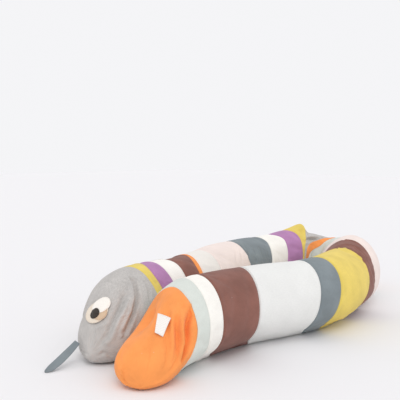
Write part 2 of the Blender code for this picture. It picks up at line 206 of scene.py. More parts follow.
def jersey(name, hex_colour, melange=0.0, cloud=0.05):
    """one dyed jersey; melange is the share of lighter and darker fibres spun into the yarn"""
    cloth = bpy.data.materials.new("cotton_jersey_" + name)
    cloth.use_nodes = True
    tree = cloth.node_tree
    shader = tree.nodes["Principled BSDF"]
    shader.inputs["Roughness"].default_value = 0.92
    shader.inputs["Specular IOR Level"].default_value = 0.22
    shader.inputs["Sheen Weight"].default_value = 0.10
    shader.inputs["Sheen Roughness"].default_value = 0.55
    place = node(tree, "TexCoord")
    base = linear(hex_colour)
    dark = tuple(c * (1 - cloud * 2.2) for c in base[:3]) + (1,)
    light = tuple(min(c * (1 + cloud), 1) for c in base[:3]) + (1,)
    clouds = node(tree, "TexNoise", {"Scale": 22.0, "Detail": 3.0, "Roughness": 0.55},
                  Vector=place.outputs["Object"])
    dyed = node(tree, "ValToRGB", Fac=clouds.outputs["Fac"])
    dyed.color_ramp.elements[0].position, dyed.color_ramp.elements[1].position = 0.30, 0.70
    dyed.color_ramp.elements[0].color, dyed.color_ramp.elements[1].color = dark, light
    colour = dyed.outputs["Color"]
    # yarn flecks, 1.5 mm wide and 4 mm long along the knit columns
    stretch = node(tree, "Mapping", {"Scale": (1.0, 0.38, 1.0)}, Vector=place.outputs["UV"])
    fibres = node(tree, "TexNoise", {"Scale": 430.0, "Detail": 3.0, "Roughness": 0.6},
                  Vector=stretch.outputs["Vector"])
    flecked = node(tree, "ValToRGB", Fac=fibres.outputs["Fac"])
    flecked.color_ramp.elements[0].position, flecked.color_ramp.elements[1].position = 0.36, 0.64
    low, high = 1 - 0.035 - melange, 1 + 0.01 + melange * 0.55
    flecked.color_ramp.elements[0].color = (low, low, low, 1)
    flecked.color_ramp.elements[1].color = (high, high, high, 1)
    colour = node(tree, "Mix", {"data_type": "RGBA", "blend_type": "MULTIPLY", "Factor": 1.0},
                  _6=colour, _7=flecked.outputs["Color"]).outputs[2]
    # lint: pale specks about 1 mm across, a few on each hand's breadth of cloth
    grains = node(tree, "TexVoronoi", {"Scale": 62.0}, Vector=place.outputs["Object"])
    chosen = node(tree, "Math", {"operation": "GREATER_THAN", 1: 0.62}, _0=grains.outputs["Color"])
    speck = node(tree, "ValToRGB", Fac=grains.outputs["Distance"])
    speck.color_ramp.elements[0].position, speck.color_ramp.elements[1].position = 0.020, 0.055
    speck.color_ramp.elements[0].color, speck.color_ramp.elements[1].color = (0.5, 0.5, 0.5, 1), (0, 0, 0, 1)
    shown = node(tree, "Math", {"operation": "MULTIPLY"}, _0=speck.outputs["Color"], _1=chosen.outputs[0])
    colour = node(tree, "Mix", {"data_type": "RGBA", 7: linear("#efece8")},
                  _0=shown.outputs[0], _6=colour).outputs[2]
    tree.links.new(colour, shader.inputs["Base Color"])
    fuzz = node(tree, "TexNoise", {"Scale": 900.0, "Detail": 2.0}, Vector=place.outputs["Object"])
    height = node(tree, "Mix", {"data_type": "FLOAT", "Factor": 0.5},
                  _2=fibres.outputs["Fac"], _3=fuzz.outputs["Fac"])
    raised = node(tree, "Bump", {"Strength": 0.25, "Distance": 0.0008}, Height=height.outputs[0])
    tree.links.new(raised.outputs["Normal"], shader.inputs["Normal"])
    return cloth


CLOTHS = {
    "cloth_grey_melange": jersey("grey_melange", "#c0bcb8", melange=0.11, cloud=0.05),
    "cloth_yellow": jersey("yellow", "#e6cd68"),
    "cloth_purple": jersey("purple", "#b482b0"),
    "cloth_white": jersey("cream_white", "#f6f3ec", cloud=0.02),
    "cloth_brown": jersey("brown", "#8a5e53", cloud=0.08),
    "cloth_orange": jersey("orange", "#f89c56", cloud=0.05),
    "cloth_mint": jersey("pale_mint", "#d6dbd4", cloud=0.02),
    "cloth_pink": jersey("pale_pink", "#efe0d9", cloud=0.03),
    "cloth_slate": jersey("slate", "#828b8f", cloud=0.06),
    "cloth_pale_grey": jersey("pale_grey", "#e6e6e3", cloud=0.015),
}
# The far pale band takes a creamier jersey than the near pale band.
CREAM_LEANING = {"band_pale_far": jersey("pale_cream", "#ebe6df", cloud=0.02)}   # a band that leans to cream

# The colour bands: sleeves cut from ten colours of jersey and joined end to end, right sides together,
# so that each seam is a narrow valley with small puckers. The head and the slack end close to a point.
AROUND = 112                      # mesh columns round a sleeve
STEP = 0.0060                     # longest step between rings along a sleeve
SEAM_GAP, SEAM_DRAW_IN, SEAM_SHOULDER, CROWN = 0.0006, 0.0022, 0.006, 0.0014
UNSTUFFED = 0.0022                # the sleeves are sewn this much smaller and swell when they are filled
# columns: node, cloth, start of the seam along the line, its turn in plan, its lean, how full it is
BANDS = [
    ("head_grey", "cloth_grey_melange", 0.000, 0.000, 0.000, 0.55),
    ("band_yellow_neck", "cloth_yellow", 0.193, 0.010, -0.006, 0.8),
    ("band_purple_neck", "cloth_purple", 0.225, -0.007, -0.003, 0.8),
    ("band_white_neck", "cloth_white", 0.271, -0.013, -0.008, 0.8),
    ("band_brown_far", "cloth_brown", 0.313, -0.008, 0.011, 0.8),
    ("band_orange_far", "cloth_orange", 0.384, 0.013, 0.015, 0.8),
    ("band_pale_far", "cloth_pale_grey", 0.404, 0.018, 0.011, 0.8),
    ("band_pink_far", "cloth_pink", 0.493, 0.021, 0.009, 0.75),
    ("band_slate_far", "cloth_slate", 0.663, 0.017, 0.005, 0.7),
    ("band_white_far", "cloth_white", 0.782, 0.026, 0.028, 0.7),
    ("band_purple_kink", "cloth_purple", 0.854, 0.019, 0.041, 0.7),
    ("band_yellow_kink", "cloth_yellow", 0.945, 0.002, 0.010, 0.5),
    ("band_grey_kink", "cloth_grey_melange", 0.992, 0.040, 0.028, 0.5),
    ("band_orange_kink", "cloth_orange", 1.052, 0.090, 0.042, 0.5),
    ("band_mint_kink", "cloth_mint", 1.098, 0.110, 0.040, 0.6),
    ("band_pink_bend", "cloth_pink", 1.232, 0.050, 0.018, 0.8),
    ("band_brown_bend", "cloth_brown", 1.376, 0.029, -0.028, 0.7),
    ("band_yellow_near", "cloth_yellow", 1.497, 0.011, -0.055, 0.9),
    ("band_slate_near", "cloth_slate", 1.651, 0.014, -0.026, 0.9),
    ("band_pale_near", "cloth_pale_grey", 1.720, 0.006, -0.022, 0.9),
    ("band_brown_near", "cloth_brown", 1.894, 0.020, -0.012, 0.9),
    ("band_white_near", "cloth_white", 2.023, 0.030, -0.005, 0.85),
    ("band_mint_near", "cloth_mint", 2.076, 0.016, -0.001, 0.8),
    ("tail_orange", "cloth_orange", 2.126, 0.007, -0.023, 0.3),
]
# how far some seams wander off their plain slanted ring: angle round the tube, millimetres along it
SEAM_BENDS = {
    "band_yellow_neck": ((-40, 0), (30, 14), (66, 15), (90, 12), (108, 8), (122, 1), (138, -10), (155, -16), (200, 0)),
    "band_purple_neck": ((-40, 0), (30, 16), (66, 26), (90, 20), (108, 8), (120, 0), (132, -6), (160, 0)),
    "band_white_neck": ((0, 0), (60, 14), (90, 14), (104, 12), (114, 8), (134, 3), (160, 0)),
    "band_brown_far": ((0, 0), (60, -4), (90, 0), (104, 6), (114, 7), (134, 2), (160, 0)),
    "band_orange_far": ((0, 0), (60, 18), (90, 16), (108, 8), (122, 0), (150, 0)),
    "band_pale_far": ((0, 0), (60, 10), (90, 10), (108, 7), (122, 2), (150, 0)),
    "band_white_far": ((0, 0), (60, -10), (94, -10), (108, 2), (150, 2), (180, 0)),
    "band_purple_kink": ((0, 0), (60, -26), (92, -26), (101, -18), (111, -1), (124, 3), (154, 3), (190, 0)),
    "band_yellow_kink": ((0, 0), (60, -14), (94, -14), (110, 0), (126, 7), (140, 7), (154, 3), (180, 0)),
    "band_grey_kink": ((90, 0), (116, 4), (136, 7), (152, -3), (180, 0)),
    "band_orange_kink": ((80, 0), (95, 8), (106, 15), (118, 20), (130, 21), (138, 12), (144, -1), (150, -8),
                         (158, -8), (172, 0)),
    "band_mint_kink": ((70, 0), (100, 4), (112, 10), (124, 24), (134, 33), (144, 30), (152, 20), (160, 0),
                       (170, -10), (185, -6), (205, 0)),
    "band_pink_bend": ((60, 0), (95, 0), (112, 8), (130, 12), (160, 8), (190, 0)),
    "band_brown_bend": ((-40, 0), (4, 14), (14, 12), (32, 8), (50, -2), (66, -9), (78, -12), (90, -8), (125, 0)),
    "band_yellow_near": ((-90, -26), (-66, -22), (-50, -9), (-36, -3), (-6, -6), (6, -9), (20, -9), (36, -6), (66, -5), (80, 0), (225, 0),
                         (270, -26)),
    "band_slate_near": ((-90, -28), (-66, -24), (-50, -10), (-34, 0), (225, 0), (270, -28)),
    "band_pale_near": ((-90, -28), (-66, -24), (-50, -10), (-34, 0), (225, 0), (270, -28)),
    "band_brown_near": ((-90, -34), (-66, -28), (-50, -12), (-34, 0), (225, 0), (270, -34)),
    "band_white_near": ((-90, -32), (-66, -26), (-50, -11), (-34, 0), (225, 0), (270, -32)),
    "band_mint_near": ((-90, -22), (-66, -18), (-50, -6), (-38, 0), (-26, 5), (-4, 8), (10, 4), (38, 0), (66, -5), (88, -12), (102, -17), (130, -10),
                       (170, 0)),
    "tail_orange": ((-60, 8), (-30, 17), (-18, 15), (-4, 10), (10, 4), (22, 3), (36, 6), (74, 5), (88, 0),
                    (112, -4), (150, 0)),
}
angles = np.arange(AROUND) * 2 * math.pi / AROUND - math.pi / 2


def ring_places(length, closed_at_start, closed_at_end):
    """distances of a band's rings from its start: close together at seams and tips"""
    tip = [0.00001, 0.0001, 0.0004, 0.001, 0.0022, 0.004, 0.0065, 0.0095, 0.013]
    seam = [SEAM_GAP / 2, 0.0022, 0.0048]
    start = tip if closed_at_start else seam
    end = tip if closed_at_end else seam
    run = length - start[-1] - end[-1]
    steps = max(1, math.ceil(run / STEP))
    return start + [start[-1] + run * k / steps for k in range(1, steps)] + [length - q for q in end[::-1]]


def seam_ring(band):
    """how far ahead of its place the seam that starts a band runs, at each angle round the sleeve"""
    name, _cloth, _start, turn, lean, _fill = band
    degrees, shifts = zip(*SEAM_BENDS.get(name, ((0, 0),)))
    bend = np.interp(np.mod(np.degrees(angles) + 90, 360) - 90, degrees, shifts)
    soft = sum(np.roll(bend, k) for k in range(-3, 4)) / 7000
    return turn * np.cos(angles) + lean * np.sin(angles) + soft


def cut_band(number):
    """one open sleeve between its two seams; the first and the last one close to a tip"""
    name = BANDS[number][0]
    start = number > 0
    end = number < len(BANDS) - 1
    first = BANDS[number][2]
    last = BANDS[number + 1][2] if end else LENGTH
    first_ring = seam_ring(BANDS[number]) if start else 0 * angles
    last_ring = seam_ring(BANDS[number + 1]) if end else 0 * angles
    length = last - first
    bm = bmesh.new()
    column = bm.verts.layers.int.new("column")
    along_at = bm.verts.layers.float.new("along")
    place_at = bm.verts.layers.float.new("place")
    ring = bmesh.ops.create_circle(bm, segments=AROUND, radius=TUBE_RADIUS)["verts"]
    for k, v in enumerate(ring):
        v[column] = k
    edges = list(bm.edges)
    for n, distance in enumerate(ring_places(length, not start, not end)):
        if n:
            grown = bmesh.ops.extrude_edge_only(bm, edges=edges)["geom"]
            ring = [g for g in grown if isinstance(g, bmesh.types.BMVert)]
            fresh = set(ring)
            edges = [g for g in grown if isinstance(g, bmesh.types.BMEdge) and fresh.issuperset(g.verts)]
        part = distance / length
        to_seam = min(distance if start else length, length - distance if end else length)
        draw = SEAM_DRAW_IN * math.exp(-((to_seam / SEAM_SHOULDER) ** 2) * 2.5)
        swell = CROWN * math.sin(math.pi * part) if start and end else 0.0
        along = first + distance + first_ring * (1 - part) + last_ring * part
        points = sleeve_points(along, angles, 1 + (swell - draw) / TUBE_RADIUS)
        for v in ring:
            k = v[column]
            v.co = points[k]
            v[along_at] = first + distance
            v[place_at] = along[k]
    for tip in ([] if start else [bm.verts[:AROUND]]) + ([] if end else [ring]):
        rim = {e for v in tip for e in v.link_edges if e.is_boundary}
        bmesh.ops.holes_fill(bm, edges=list(rim), sides=0)
    uv = bm.loops.layers.uv.new("cloth")
    for face in bm.faces:
        wraps = any(v[column] == AROUND - 1 for v in face.verts)
        for loop in face.loops:
            k = loop.vert[column]
            k = AROUND if wraps and k == 0 else k
            loop[uv].uv = (2 * math.pi * TUBE_RADIUS * k / AROUND, loop.vert[along_at])
        face.smooth = True
    bmesh.ops.recalc_face_normals(bm, faces=bm.faces)
    mesh = bpy.data.meshes.new(name + "_sleeve")
    bm.to_mesh(mesh)
    bm.free()
    return mesh


def coordinates(mesh):
    flat = np.empty(len(mesh.vertices) * 3)
    mesh.vertices.foreach_get("co", flat)
    return flat.reshape(-1, 3)


def put_coordinates(mesh, points):
    mesh.vertices.foreach_set("co", np.ascontiguousarray(points, dtype=float).ravel())
    mesh.update()


def outward(mesh):
    normals = np.empty(len(mesh.vertices) * 3, dtype=np.float32)
    mesh.vertex_normals.foreach_get("vector", normals)
    return normals.reshape(-1, 3)


sleeves = {}
for number, (name, cloth, *_rest) in enumerate(BANDS):
    shell = cut_band(number)
    shell.materials.append(CREAM_LEANING.get(name, CLOTHS[cloth]))
    sleeve = bpy.data.objects.new(name + "_sleeve", shell)
    bpy.context.scene.collection.objects.link(sleeve)
    sleeves[name] = sleeve

# The stuffing: loose fibre blown into the sleeves. Each sleeve is slack cloth held at its seams and on
# the floor, and swells until its cloth is taut, which leaves the small pulls beside the seams.
STUFFING_FRAMES, STUFFING_CAP = 20, 0.0055
sewn = {}
for name, sleeve in sleeves.items():
    mesh = sleeve.data
    places = coordinates(mesh)
    ring_run = np.empty(len(mesh.vertices))
    mesh.attributes["along"].data.foreach_get("value", ring_run)
    start, full = next((b[2], b[5]) for b in BANDS if b[0] == name)
    end = next((b[2] for b in BANDS if b[2] > start), LENGTH)
    from_seam = np.minimum(ring_run - start if start else 1.0, end - ring_run if end < LENGTH else 1.0)
    loose = 1 - np.exp(-(from_seam / 0.008) ** 2)
    places = places - outward(mesh) * (UNSTUFFED * loose)[:, None]
    places[:, 2] = np.maximum(places[:, 2], 0.0)
    put_coordinates(mesh, places)
    sewn[name] = places
    held = sleeve.vertex_groups.new(name="held")
    for k in np.nonzero((from_seam < 0.003) | (places[:, 2] < 0.003))[0]:
        held.add([int(k)], 1.0, "REPLACE")
    cloth = sleeve.modifiers.new("stuffing", "CLOTH")
    cloth.settings.quality = 5
    cloth.settings.mass = 0.3
    cloth.settings.tension_stiffness = cloth.settings.compression_stiffness = 15
    cloth.settings.bending_stiffness = 0.4
    cloth.settings.shrink_min = cloth.settings.shrink_max = -0.030
    cloth.settings.use_pressure = True
    cloth.settings.uniform_pressure_force = 2 + 3 * full
    cloth.settings.vertex_group_mass = "held"
    cloth.settings.effector_weights.gravity = 0.0
    cloth.collision_settings.use_collision = False
    cloth.point_cache.frame_start, cloth.point_cache.frame_end = 1, STUFFING_FRAMES
for moment in range(1, STUFFING_FRAMES + 1):
    bpy.context.scene.frame_set(moment)
stuffed = bpy.context.evaluated_depsgraph_get()
swollen = {name: coordinates(sleeve.evaluated_get(stuffed).data) for name, sleeve in sleeves.items()}
for name, sleeve in sleeves.items():
    sleeve.modifiers.clear()
    sleeve.vertex_groups.clear()
    push = swollen[name] - sewn[name]
    size = np.linalg.norm(push, axis=1, keepdims=True) + 1e-9
    push *= STUFFING_CAP * np.tanh(size / STUFFING_CAP) / size
    places = sewn[name] + push
    places[:, 2] = np.maximum(places[:, 2], 0.0)
    put_coordinates(sleeve.data, places)
bpy.context.scene.frame_set(1)

# Creases: the folds that the slack cloth keeps where the pillow is bent, pressed or loosely filled. Each
# is a soft trough with a low ridge beside it, drawn through a few places on the sleeve.
# columns: width, depth, lip beside it, then places along the line and angles round it in degrees
CREASES = [
    # head, side that faces the slack end
    (0.0056, 0.0135, 0.55, (0.132, 112), (0.121, 120), (0.108, 128), (0.093, 138), (0.079, 144), (0.068, 150),
     (0.052, 156), (0.034, 164)),
    (0.0066, 0.0120, 0.55, (0.010, 140), (0.019, 132), (0.032, 128), (0.052, 126), (0.068, 122), (0.085, 118)),
    (0.0030, 0.0034, 0.6, (0.022, 132), (0.014, 114), (0.008, 90)),
    (0.0028, 0.0026, 0.5, (0.041, 132), (0.056, 140)),
    (0.0032, 0.0040, 0.6, (0.003, 214), (0.004, 194), (0.013, 214)),
    (0.0045, 0.0030, 0.5, (0.136, 62), (0.117, 78), (0.103, 90)),
    (0.0036, 0.0016, 0.3, (0.136, 96), (0.120, 108)),
    (0.0045, 0.0036, 0.5, (0.148, 130), (0.138, 140), (0.123, 150)),
    (0.0034, 0.0018, 0.4, (0.002, 246), (0.017, 250)),
    (0.0040, 0.0014, 0.3, (0.055, 94), (0.064, 100)),
    (0.0060, 0.0022, 0.5, (0.100, 142), (0.074, 160), (0.050, 176)),
    (0.0045, 0.0018, 0.4, (0.162, 82), (0.124, 90)),
    # head, far side
    (0.0070, 0.0034, 0.4, (0.140, 60), (0.110, 34), (0.090, 12), (0.086, -20)),
    (0.0060, 0.0026, 0.4, (0.170, 40), (0.150, 10), (0.130, -25)),
    # slack end: the deep fold over the last full part, and the folds that hang beside it
    (0.0056, 0.0190, 0.5, (2.126, 48), (2.133, 45), (2.145, 40), (2.154, 33), (2.160, 25), (2.168, 16), (2.183, 8),
     (2.198, -2)),
    (0.0058, 0.0095, 0.6, (2.156, 58), (2.174, 46), (2.195, 32), (2.231, 18)),
    (0.0060, 0.0055, 0.5, (2.205, 56), (2.232, 46), (2.250, 30)),
    (0.0044, 0.0040, 0.5, (2.128, 68), (2.134, 54), (2.146, 46)),
    (0.0060, 0.0022, 0.4, (2.120, 108), (2.160, 104), (2.200, 100)),
    (0.0026, 0.0050, 0.8, (2.2520, 150), (2.2560, 172), (2.2560, 214)),
    (0.0050, 0.0036, 0.5, (2.222, 140), (2.234, 150), (2.250, 148)),
    (0.0050, 0.0036, 0.5, (2.215, 82), (2.235, 78), (2.254, 74)),
    (0.0050, 0.0034, 0.5, (2.143, 84), (2.165, 70), (2.198, 56)),
    (0.0060, 0.0020, 0.4, (2.130, 98), (2.142, 72)),
    (0.0060, 0.0018, 0.4, (2.228, 104), (2.255, 116)),
    # the slack end lies hollow where the head leans on it, and the far leg sags a little behind the head
    (0.0220, 0.0225, 0.0, (2.136, 131), (2.157, 127), (2.182, 127)),
    (0.0450, 0.0080, 0.0, (0.222, 74), (0.350, 72), (0.480, 72)),
    # far leg, where the cloth is pulled down between the legs
    (0.0032, 0.0034, 0.6, (0.700, 132), (0.696, 140), (0.692, 148), (0.681, 158)),
    (0.0032, 0.0036, 0.6, (0.735, 128), (0.731, 136), (0.725, 146), (0.717, 158)),
    (0.0034, 0.0026, 0.6, (0.762, 128), (0.755, 146), (0.748, 162)),
    (0.0036, 0.0018, 0.5, (0.784, 138), (0.776, 150), (0.770, 160)),
    (0.0036, 0.0020, 0.5, (0.802, 146), (0.805, 156), (0.802, 164)),
    (0.0045, 0.0028, 0.5, (0.681, 114), (0.675, 130), (0.657, 144), (0.642, 152)),
    (0.0036, 0.0020, 0.5, (0.636, 124), (0.612, 140), (0.600, 148)),
    (0.0036, 0.0016, 0.5, (0.601, 126), (0.585, 136), (0.569, 146)),
    (0.0045, 0.0014, 0.4, (0.345, 114), (0.331, 132)),
    # kink: the hard fold behind the peak, and the pulls that run down from it
    (0.0040, 0.0100, 0.6, (1.075, 106), (1.054, 120), (1.025, 128), (0.993, 134)),
    (0.0045, 0.0022, 0.5, (0.975, 104), (0.978, 116), (0.971, 130)),
    (0.0055, 0.0040, 0.5, (0.990, 60), (0.985, 30), (0.980, 0), (0.985, -30)),
    (0.0070, 0.0040, 0.5, (1.050, 64), (1.055, 34), (1.050, 4)),
    (0.0060, 0.0030, 0.5, (1.110, 60), (1.120, 30), (1.110, 0)),
    # bend: long wrinkles along the brown band and its neighbours
    (0.0026, 0.0060, 0.6, (1.437, 106), (1.405, 102), (1.390, 92), (1.386, 76), (1.394, 62), (1.415, 46), (1.440, 34)),
    (0.0024, 0.0055, 0.6, (1.451, 100), (1.418, 94), (1.405, 88), (1.399, 80), (1.405, 70), (1.421, 60), (1.452, 40)),
    (0.0024, 0.0040, 0.6, (1.462, 94), (1.440, 84), (1.432, 74), (1.440, 60), (1.462, 46), (1.484, 34)),
    (0.0036, 0.0020, 0.5, (1.356, 104), (1.338, 100), (1.326, 92), (1.329, 74), (1.345, 60), (1.375, 42)),
    (0.0050, 0.0020, 0.5, (1.240, 130), (1.220, 112), (1.190, 104)),
    # near leg
    (0.0030, 0.0050, 0.9, (1.594, -42), (1.623, -40), (1.656, -42), (1.677, -47), (1.690, -50)),
    (0.0034, 0.0016, 0.6, (1.682, -58), (1.650, -52), (1.618, -50)),
    (0.0040, 0.0014, 0.5, (1.768, -38), (1.754, -36), (1.734, -33)),
    (0.0040, 0.0012, 0.5, (1.722, -36), (1.700, -30)),
    (0.0100, 0.0016, 0.3, (1.959, 64), (2.000, 30), (2.027, -6)),
    (0.0090, 0.0014, 0.3, (1.908, 66), (1.943, 26), (1.965, -6)),
    (0.0070, 0.0012, 0.3, (2.021, 48), (2.050, 10)),
    (0.0060, 0.0014, 0.3, (2.068, 74), (2.103, 52), (2.127, 32)),
]


def crease_depth(places, normals):
    """how far inwards the creases pull each place of the sleeve; the lip is on a crease's right-hand side"""
    depth = np.zeros(len(places))
    for width, deep, lip, *way in CREASES:
        line = np.array(way, float)
        line = np.concatenate([line[n] + np.linspace(0, 1, 7)[:6, None] * (line[n + 1] - line[n])
                               for n in range(len(line) - 1)] + [line[-1:]])
        line = sleeve_points(line[:, 0], np.radians(line[:, 1]))
        run = np.r_[0, np.cumsum(np.linalg.norm(np.diff(line, axis=0), axis=1))]
        reach = 4 * width
        near = np.nonzero(((places > line.min(axis=0) - reach) & (places < line.max(axis=0) + reach)).all(axis=1))[0]
        if not len(near):
            continue
        gap, side, passed = np.full(len(near), 9.0), np.ones(len(near)), np.zeros(len(near))
        for n in range(len(line) - 1):
            step = line[n + 1] - line[n]
            away = places[near] - line[n]
            share = np.clip(away @ step / (step @ step), 0, 1)
            away -= share[:, None] * step
            far = np.linalg.norm(away, axis=1)
            closer = far < gap
            gap = np.where(closer, far, gap)
            side = np.where(closer, np.sign((away * np.cross(step, normals[near])).sum(axis=1) + 1e-15), side)
            passed = np.where(closer, (run[n] + share * (run[n + 1] - run[n])) / run[-1], passed)
        fade = np.sin(math.pi * np.clip(0.10 + 0.80 * passed, 0, 1)) ** 0.7
        trough = np.exp(-(gap / width) ** 2)
        ridge = lip * np.exp(-((gap * side - 1.7 * width) / width) ** 2)
        depth[near] += deep * fade * (trough - ridge)
    return depth


# Finished bands: the filled sleeves with their creases and puckers, each seam's allowance turned in.
ALLOWANCE = 0.006
FIRM_LEG = (1.36, 2.19)           # the near leg is filled hard, so its underside stays rounder
ROUNDER = 0.022                   # and touches the floor that much further in on each side
PUCKER = 0.00035


def finish_band(name, full):
    sleeve = sleeves[name]
    smooth = sleeve.modifiers.new("smooth", "SUBSURF")
    smooth.levels = smooth.render_levels = 1
    graph = bpy.context.evaluated_depsgraph_get()
    mesh = bpy.data.meshes.new_from_object(sleeve.evaluated_get(graph))
    bpy.data.objects.remove(sleeve)
    ring_run = np.empty(len(mesh.vertices))
    mesh.attributes["along"].data.foreach_get("value", ring_run)
    start = next(b[2] for b in BANDS if b[0] == name)
    end = next((b[2] for b in BANDS if b[2] > start), LENGTH)
    from_seam = np.minimum(ring_run - start if start else 1.0, end - ring_run if end < LENGTH else 1.0)
    places, normals = coordinates(mesh), outward(mesh)
    pucker = np.array([noise.noise((x * 90, y * 90, z * 90)) for x, y, z in places])
    pucker *= PUCKER * np.exp(-(from_seam / 0.009) ** 2) * (from_seam > 0.001)
    slack = np.array([noise.noise((x * 14, y * 14, z * 14 + 7)) for x, y, z in places]) * 0.0016 * (1.1 - full)
    inward = crease_depth(places, normals) * np.clip(from_seam / 0.004, 0, 1)
    on_floor = np.clip(places[:, 2] / 0.012, 0, 1)
    places += normals * ((pucker + slack - inward) * on_floor)[:, None]
    run = np.empty(len(mesh.vertices))
    mesh.attributes["place"].data.foreach_get("value", run)
    middle = np.stack([np.interp(run, ARC, ROWS[:, k]) for k in (0, 1)], axis=1) - places[:, :2]
    aside = np.linalg.norm(middle, axis=1) + 1e-9
    firm = np.clip((run - FIRM_LEG[0]) / 0.12, 0, 1) * np.clip((FIRM_LEG[1] - run) / 0.10, 0, 1)
    drawn = ROUNDER * firm * np.exp(-(places[:, 2] / 0.035) ** 2) * np.clip(aside / 0.06, 0, 1)
    places[:, :2] += middle * (drawn / aside)[:, None]
    places[:, 2] = np.maximum(places[:, 2], 0.0)
    put_coordinates(mesh, places)
    bm = bmesh.new()
    bm.from_mesh(mesh)
    place_at = bm.verts.layers.float["place"]
    for edges in open_rings(bm):
        turned = bmesh.ops.extrude_edge_only(bm, edges=edges)["geom"]
        rim = [g for g in turned if isinstance(g, bmesh.types.BMVert)]
        fresh = set(rim)
        for v in rim:
            axis = sleeve_axis(v[place_at])
            v.co += (axis - v.co).normalized() * ALLOWANCE
            v.co.z = max(v.co.z, 0.0004)
        loop = [rim[0]]
        while len(loop) < len(rim):
            fresh.discard(loop[-1])
            loop.append(next(o for e in loop[-1].link_edges for o in (e.other_vert(loop[-1]),) if o in fresh))
        close_ring(bm, loop, [v[place_at] for v in loop])
    bmesh.ops.recalc_face_normals(bm, faces=bm.faces)
    bm.to_mesh(mesh)
    bm.free()
    piece = bpy.data.objects.new(name + "_cloth", mesh)
    bpy.context.scene.collection.objects.link(piece)
    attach(piece, "root")
    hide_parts(name)
    return piece


def sleeve_axis(along):
    """middle of the stuffed sleeve at a length along the line"""
    x, y, _outer, _inner, top = (float(np.interp(along, ARC, ROWS[:, k])) for k in range(5))
    return Vector((x, y, top / 2))


def close_ring(bm, ring, places):
    """close a ring with chords between points at the same length along the sleeve"""
    count = len(ring)
    low, up, down = places.index(min(places)), 1, 1
    bm.faces.new((ring[low], ring[(low + 1) % count], ring[low - 1]))
    while up + down < count - 1:
        left, right = (low + up) % count, (low - down) % count
        above, below = (left + 1) % count, (right - 1) % count
        if places[above] <= places[below]:
            bm.faces.new((ring[left], ring[above], ring[right]))
            up += 1
        else:
            bm.faces.new((ring[left], ring[below], ring[right]))
            down += 1


def open_rings(bm):
    """the open seam ends of a sleeve, each as its list of edges"""
    left = {e for e in bm.edges if e.is_boundary}
    rings = []
    while left:
        ring, todo = [], [left.pop()]
        while todo:
            edge = todo.pop()
            ring.append(edge)
            for v in edge.verts:
                for other in v.link_edges:
                    if other in left:
                        left.discard(other)
                        todo.append(other)
        rings.append(ring)
    return rings


pieces = {name: finish_band(name, full) for name, cloth, _start, _turn, _lean, full in BANDS}


# The eyes: four rounds of 1 mm wool felt on each side of the head, each drooping over the edges of the
# ones below it, and held by small running stitches just inside their edges.
def felt(name, hex_colour):
    """pressed wool felt: matt, with fibres tangled every way and a faint mottle"""
    wool = bpy.data.materials.new("wool_felt_" + name)
    wool.use_nodes = True
    tree = wool.node_tree
    shader = tree.nodes["Principled BSDF"]
    shader.inputs["Roughness"].default_value = 0.96
    shader.inputs["Specular IOR Level"].default_value = 0.2
    shader.inputs["Sheen Weight"].default_value = 0.2
    place = node(tree, "TexCoord")
    base = linear(hex_colour)
    tangle = node(tree, "TexNoise", {"Scale": 650.0, "Detail": 4.0, "Distortion": 1.6},
                  Vector=place.outputs["Object"])
    mottle = node(tree, "ValToRGB", Fac=tangle.outputs["Fac"])
    mottle.color_ramp.elements[0].position, mottle.color_ramp.elements[1].position = 0.3, 0.7
    mottle.color_ramp.elements[0].color = tuple(c * 0.86 for c in base[:3]) + (1,)
    mottle.color_ramp.elements[1].color = tuple(min(c * 1.05, 1) for c in base[:3]) + (1,)
    tree.links.new(mottle.outputs["Color"], shader.inputs["Base Color"])
    raised = node(tree, "Bump", {"Strength": 0.35, "Distance": 0.0006}, Height=tangle.outputs["Fac"])
    tree.links.new(raised.outputs["Normal"], shader.inputs["Normal"])
    return wool


def thread(name, hex_colour):
    """two-ply cotton sewing thread, faintly glossy"""
    cotton = bpy.data.materials.new("sewing_thread_" + name)
    cotton.use_nodes = True
    tree = cotton.node_tree
    shader = tree.nodes["Principled BSDF"]
    shader.inputs["Roughness"].default_value = 0.6
    place = node(tree, "TexCoord")
    plies = node(tree, "TexNoise", {"Scale": 1500.0, "Detail": 2.0}, Vector=place.outputs["Object"])
    tint = node(tree, "ValToRGB", Fac=plies.outputs["Fac"])
    base = linear(hex_colour)
    tint.color_ramp.elements[0].color = tuple(c * 0.8 for c in base[:3]) + (1,)
    tint.color_ramp.elements[1].color = base
    tree.links.new(tint.outputs["Color"], shader.inputs["Base Color"])
    return cotton


